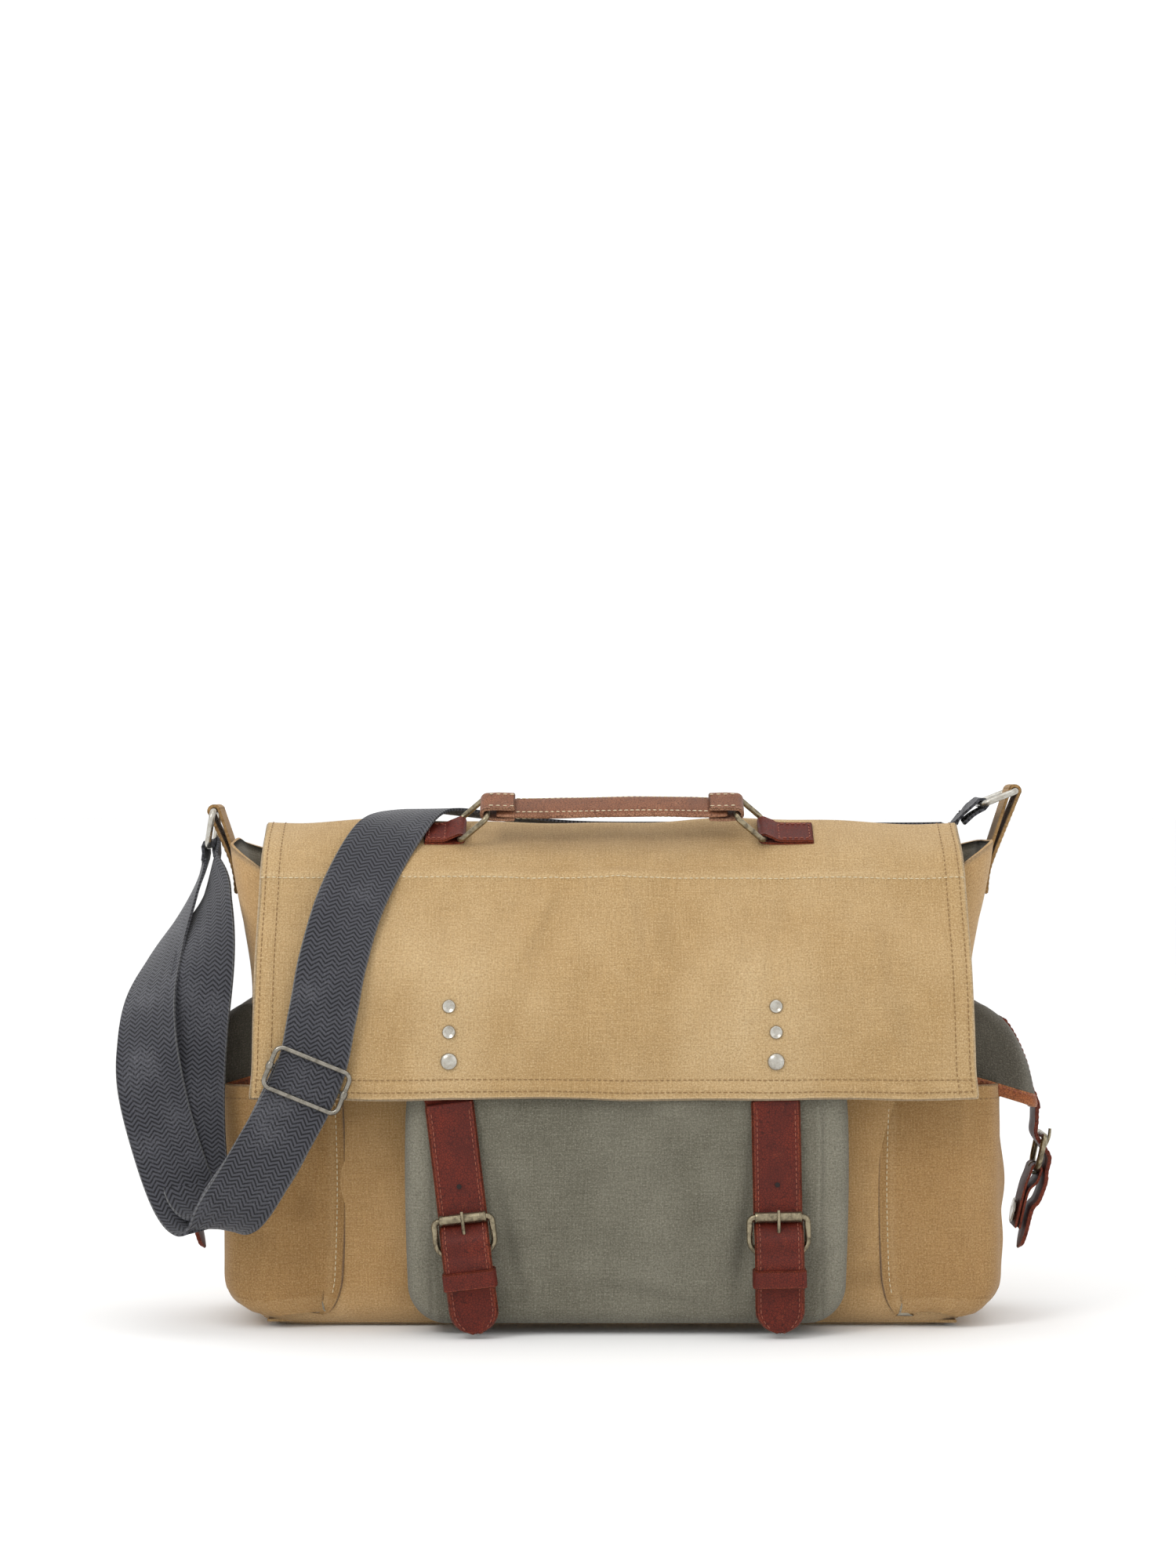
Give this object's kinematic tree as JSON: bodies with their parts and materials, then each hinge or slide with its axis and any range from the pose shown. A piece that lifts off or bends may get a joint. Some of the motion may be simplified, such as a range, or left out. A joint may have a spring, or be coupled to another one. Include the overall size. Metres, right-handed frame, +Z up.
{
  "type": "satchel bag",
  "caption": "Canvas satchel with a full flap, buckled leather straps, front and side pockets, leather handle and webbing shoulder strap.",
  "frame": {"origin": "middle of the flat base, on the surface the bag stands on", "axes": "+X across the bag's width, -Y is the front with the flap, +Z up"},
  "size_m": [0.5242, 0.1709, 0.301],
  "materials": {
    "tan_canvas": "washed cotton canvas, sand tan",
    "grey_canvas": "washed cotton canvas, olive grey",
    "oxblood_leather": "waxed oxblood leather with stitched edges",
    "handle_leather": "burnished brown leather",
    "binding_leather": "cognac leather binding",
    "cotton_webbing": "charcoal herringbone cotton webbing",
    "antique_brass": "antiqued, satin",
    "pewter": "antiqued nickel, satin"
  },
  "bodies": {
    "root": {"back_panel": "tan_canvas", "front_panel": "tan_canvas", "bottom_panel": "tan_canvas", "side_gusset_left": "tan_canvas", "side_gusset_right": "tan_canvas", "front_pocket": "grey_canvas", "side_pocket_left": "tan_canvas", "side_pocket_right": "tan_canvas", "ring_tab_left": "tan_canvas", "ring_tab_right": "tan_canvas", "front_left_snap_socket": "pewter", "front_right_snap_socket": "pewter", "side_left_snap_socket": "pewter", "side_right_snap_socket": "pewter", "webbing_end_left": "cotton_webbing", "webbing_end_right": "cotton_webbing"},
    "flap": {"main_flap": "tan_canvas", "handle_tab_left": "oxblood_leather", "handle_tab_right": "oxblood_leather", "rivet_left_upper": "pewter", "rivet_left_middle": "pewter", "rivet_left_lower": "pewter", "rivet_right_upper": "pewter", "rivet_right_middle": "pewter", "rivet_right_lower": "pewter"},
    "strap": {"shoulder_webbing": "cotton_webbing"},
    "slider": {"slider": "pewter"},
    "handle_ring_left": {"handle_ring_left": "antique_brass"},
    "handle_ring_right": {"handle_ring_right": "antique_brass"},
    "handle": {"handle": "handle_leather"},
    "front_strap_left": {"front_left_strap": "oxblood_leather", "front_left_buckle": "antique_brass", "front_left_chape": "oxblood_leather", "front_left_keeper": "oxblood_leather", "front_left_snap_stud": "pewter"},
    "front_roller_left": {"front_left_roller": "antique_brass"},
    "front_prong_left": {"front_left_prong": "antique_brass"},
    "front_strap_right": {"front_right_strap": "oxblood_leather", "front_right_buckle": "antique_brass", "front_right_chape": "oxblood_leather", "front_right_keeper": "oxblood_leather", "front_right_snap_stud": "pewter"},
    "front_roller_right": {"front_right_roller": "antique_brass"},
    "front_prong_right": {"front_right_prong": "antique_brass"},
    "side_flap_left": {"side_pocket_flap_left": "grey_canvas", "side_flap_binding_left": "binding_leather"},
    "side_strap_left": {"side_left_strap": "oxblood_leather", "side_left_buckle": "antique_brass", "side_left_chape": "oxblood_leather", "side_left_snap_stud": "pewter"},
    "side_prong_left": {"side_left_prong": "antique_brass"},
    "side_flap_right": {"side_pocket_flap_right": "grey_canvas", "side_flap_binding_right": "binding_leather"},
    "side_strap_right": {"side_right_strap": "oxblood_leather", "side_right_buckle": "antique_brass", "side_right_chape": "oxblood_leather", "side_right_snap_stud": "pewter"},
    "side_prong_right": {"side_right_prong": "antique_brass"},
    "strap_ring_left": {"strap_ring_left": "pewter"},
    "strap_ring_right": {"strap_ring_right": "pewter"}
  },
  "joints": [
    {"name": "flap_hinge", "type": "hinge", "parent": "root", "child": "flap", "pos_m": [0, 0.06, 0.2625], "axis": [-1, 0, 0], "range_deg": [0, 120]},
    {"name": "strap_swing", "type": "hinge", "parent": "root", "child": "strap", "pos_m": [0, 0.06, 0.2625], "axis": [-1, 0, 0], "range_deg": [0, 120]},
    {"name": "slider_slide", "type": "slide", "parent": "strap", "child": "slider", "axis": [0.3764, 0, 0.9265], "range_m": [-0.01, 0.01]},
    {"name": "handle_ring_left_hinge", "type": "hinge", "parent": "flap", "child": "handle_ring_left", "pos_m": [-0.0845, -0.04692, 0.27535], "axis": [0, 0.866, 0.5], "range_deg": [-8, 8]},
    {"name": "handle_ring_right_hinge", "type": "hinge", "parent": "flap", "child": "handle_ring_right", "pos_m": [0.0845, -0.04692, 0.27535], "axis": [0, 0.866, 0.5], "range_deg": [-8, 8]},
    {"name": "handle_sway", "type": "hinge", "parent": "handle_ring_left", "child": "handle", "pos_m": [-0.069, -0.05442, 0.28834], "axis": [0, 0.866, 0.5], "range_deg": [-10, 10]},
    {"name": "front_strap_left_hinge", "type": "hinge", "parent": "flap", "child": "front_strap_left", "pos_m": [-0.089, -0.093, 0.12698], "axis": [-0.9925, 0, -0.1219], "range_deg": [0, 75]},
    {"name": "front_roller_left_turn", "type": "hinge", "parent": "front_strap_left", "child": "front_roller_left", "pos_m": [-0.08138, -0.1008, 0.06494], "axis": [-0.9925, 0, -0.1219], "continuous": true},
    {"name": "front_prong_left_hinge", "type": "hinge", "parent": "front_strap_left", "child": "front_prong_left", "pos_m": [-0.07901, -0.1008, 0.04559], "axis": [0.9925, 0, 0.1219], "range_deg": [0, 30]},
    {"name": "front_strap_right_hinge", "type": "hinge", "parent": "flap", "child": "front_strap_right", "pos_m": [0.089, -0.093, 0.12828], "axis": [-0.9998, 0, -0.0175], "range_deg": [0, 75]},
    {"name": "front_roller_right_turn", "type": "hinge", "parent": "front_strap_right", "child": "front_roller_right", "pos_m": [0.09009, -0.1008, 0.06579], "axis": [-0.9998, 0, -0.0175], "continuous": true},
    {"name": "front_prong_right_hinge", "type": "hinge", "parent": "front_strap_right", "child": "front_prong_right", "pos_m": [0.09043, -0.1008, 0.04629], "axis": [0.9998, 0, 0.0175], "range_deg": [0, 30]},
    {"name": "side_flap_left_hinge", "type": "hinge", "parent": "root", "child": "side_flap_left", "pos_m": [-0.2003, 0, 0.178], "axis": [0, 1, 0], "range_deg": [0, 60]},
    {"name": "side_strap_left_hinge", "type": "hinge", "parent": "side_flap_left", "child": "side_strap_left", "pos_m": [-0.2415, 0, 0.121], "axis": [0, 1, 0], "range_deg": [-4, 60]},
    {"name": "side_prong_left_hinge", "type": "hinge", "parent": "side_strap_left", "child": "side_prong_left", "pos_m": [-0.24123, 0, 0.08221], "axis": [0, -1, 0], "range_deg": [0, 30]},
    {"name": "side_flap_right_hinge", "type": "hinge", "parent": "root", "child": "side_flap_right", "pos_m": [0.2003, 0, 0.178], "axis": [0, -1, 0], "range_deg": [0, 60]},
    {"name": "side_strap_right_hinge", "type": "hinge", "parent": "side_flap_right", "child": "side_strap_right", "pos_m": [0.2415, 0, 0.121], "axis": [0, -1, 0], "range_deg": [-4, 60]},
    {"name": "side_prong_right_hinge", "type": "hinge", "parent": "side_strap_right", "child": "side_prong_right", "pos_m": [0.24123, 0, 0.08221], "axis": [0, 1, 0], "range_deg": [0, 30]},
    {"name": "strap_ring_left_hinge", "type": "hinge", "parent": "root", "child": "strap_ring_left", "pos_m": [-0.2265, 0.012, 0.2855], "axis": [0, 1, 0], "range_deg": [-12, 12]},
    {"name": "strap_ring_right_hinge", "type": "hinge", "parent": "root", "child": "strap_ring_right", "pos_m": [0.23, 0.012, 0.297], "axis": [0, 1, 0], "range_deg": [-8, 8]}
  ],
  "couplings": [
    {"joint": "strap_swing", "follows": "flap_hinge", "ratio": 1},
    {"joint": "handle_ring_right_hinge", "follows": "handle_ring_left_hinge", "ratio": 1},
    {"joint": "handle_sway", "follows": "handle_ring_left_hinge", "ratio": -1.2246}
  ]
}
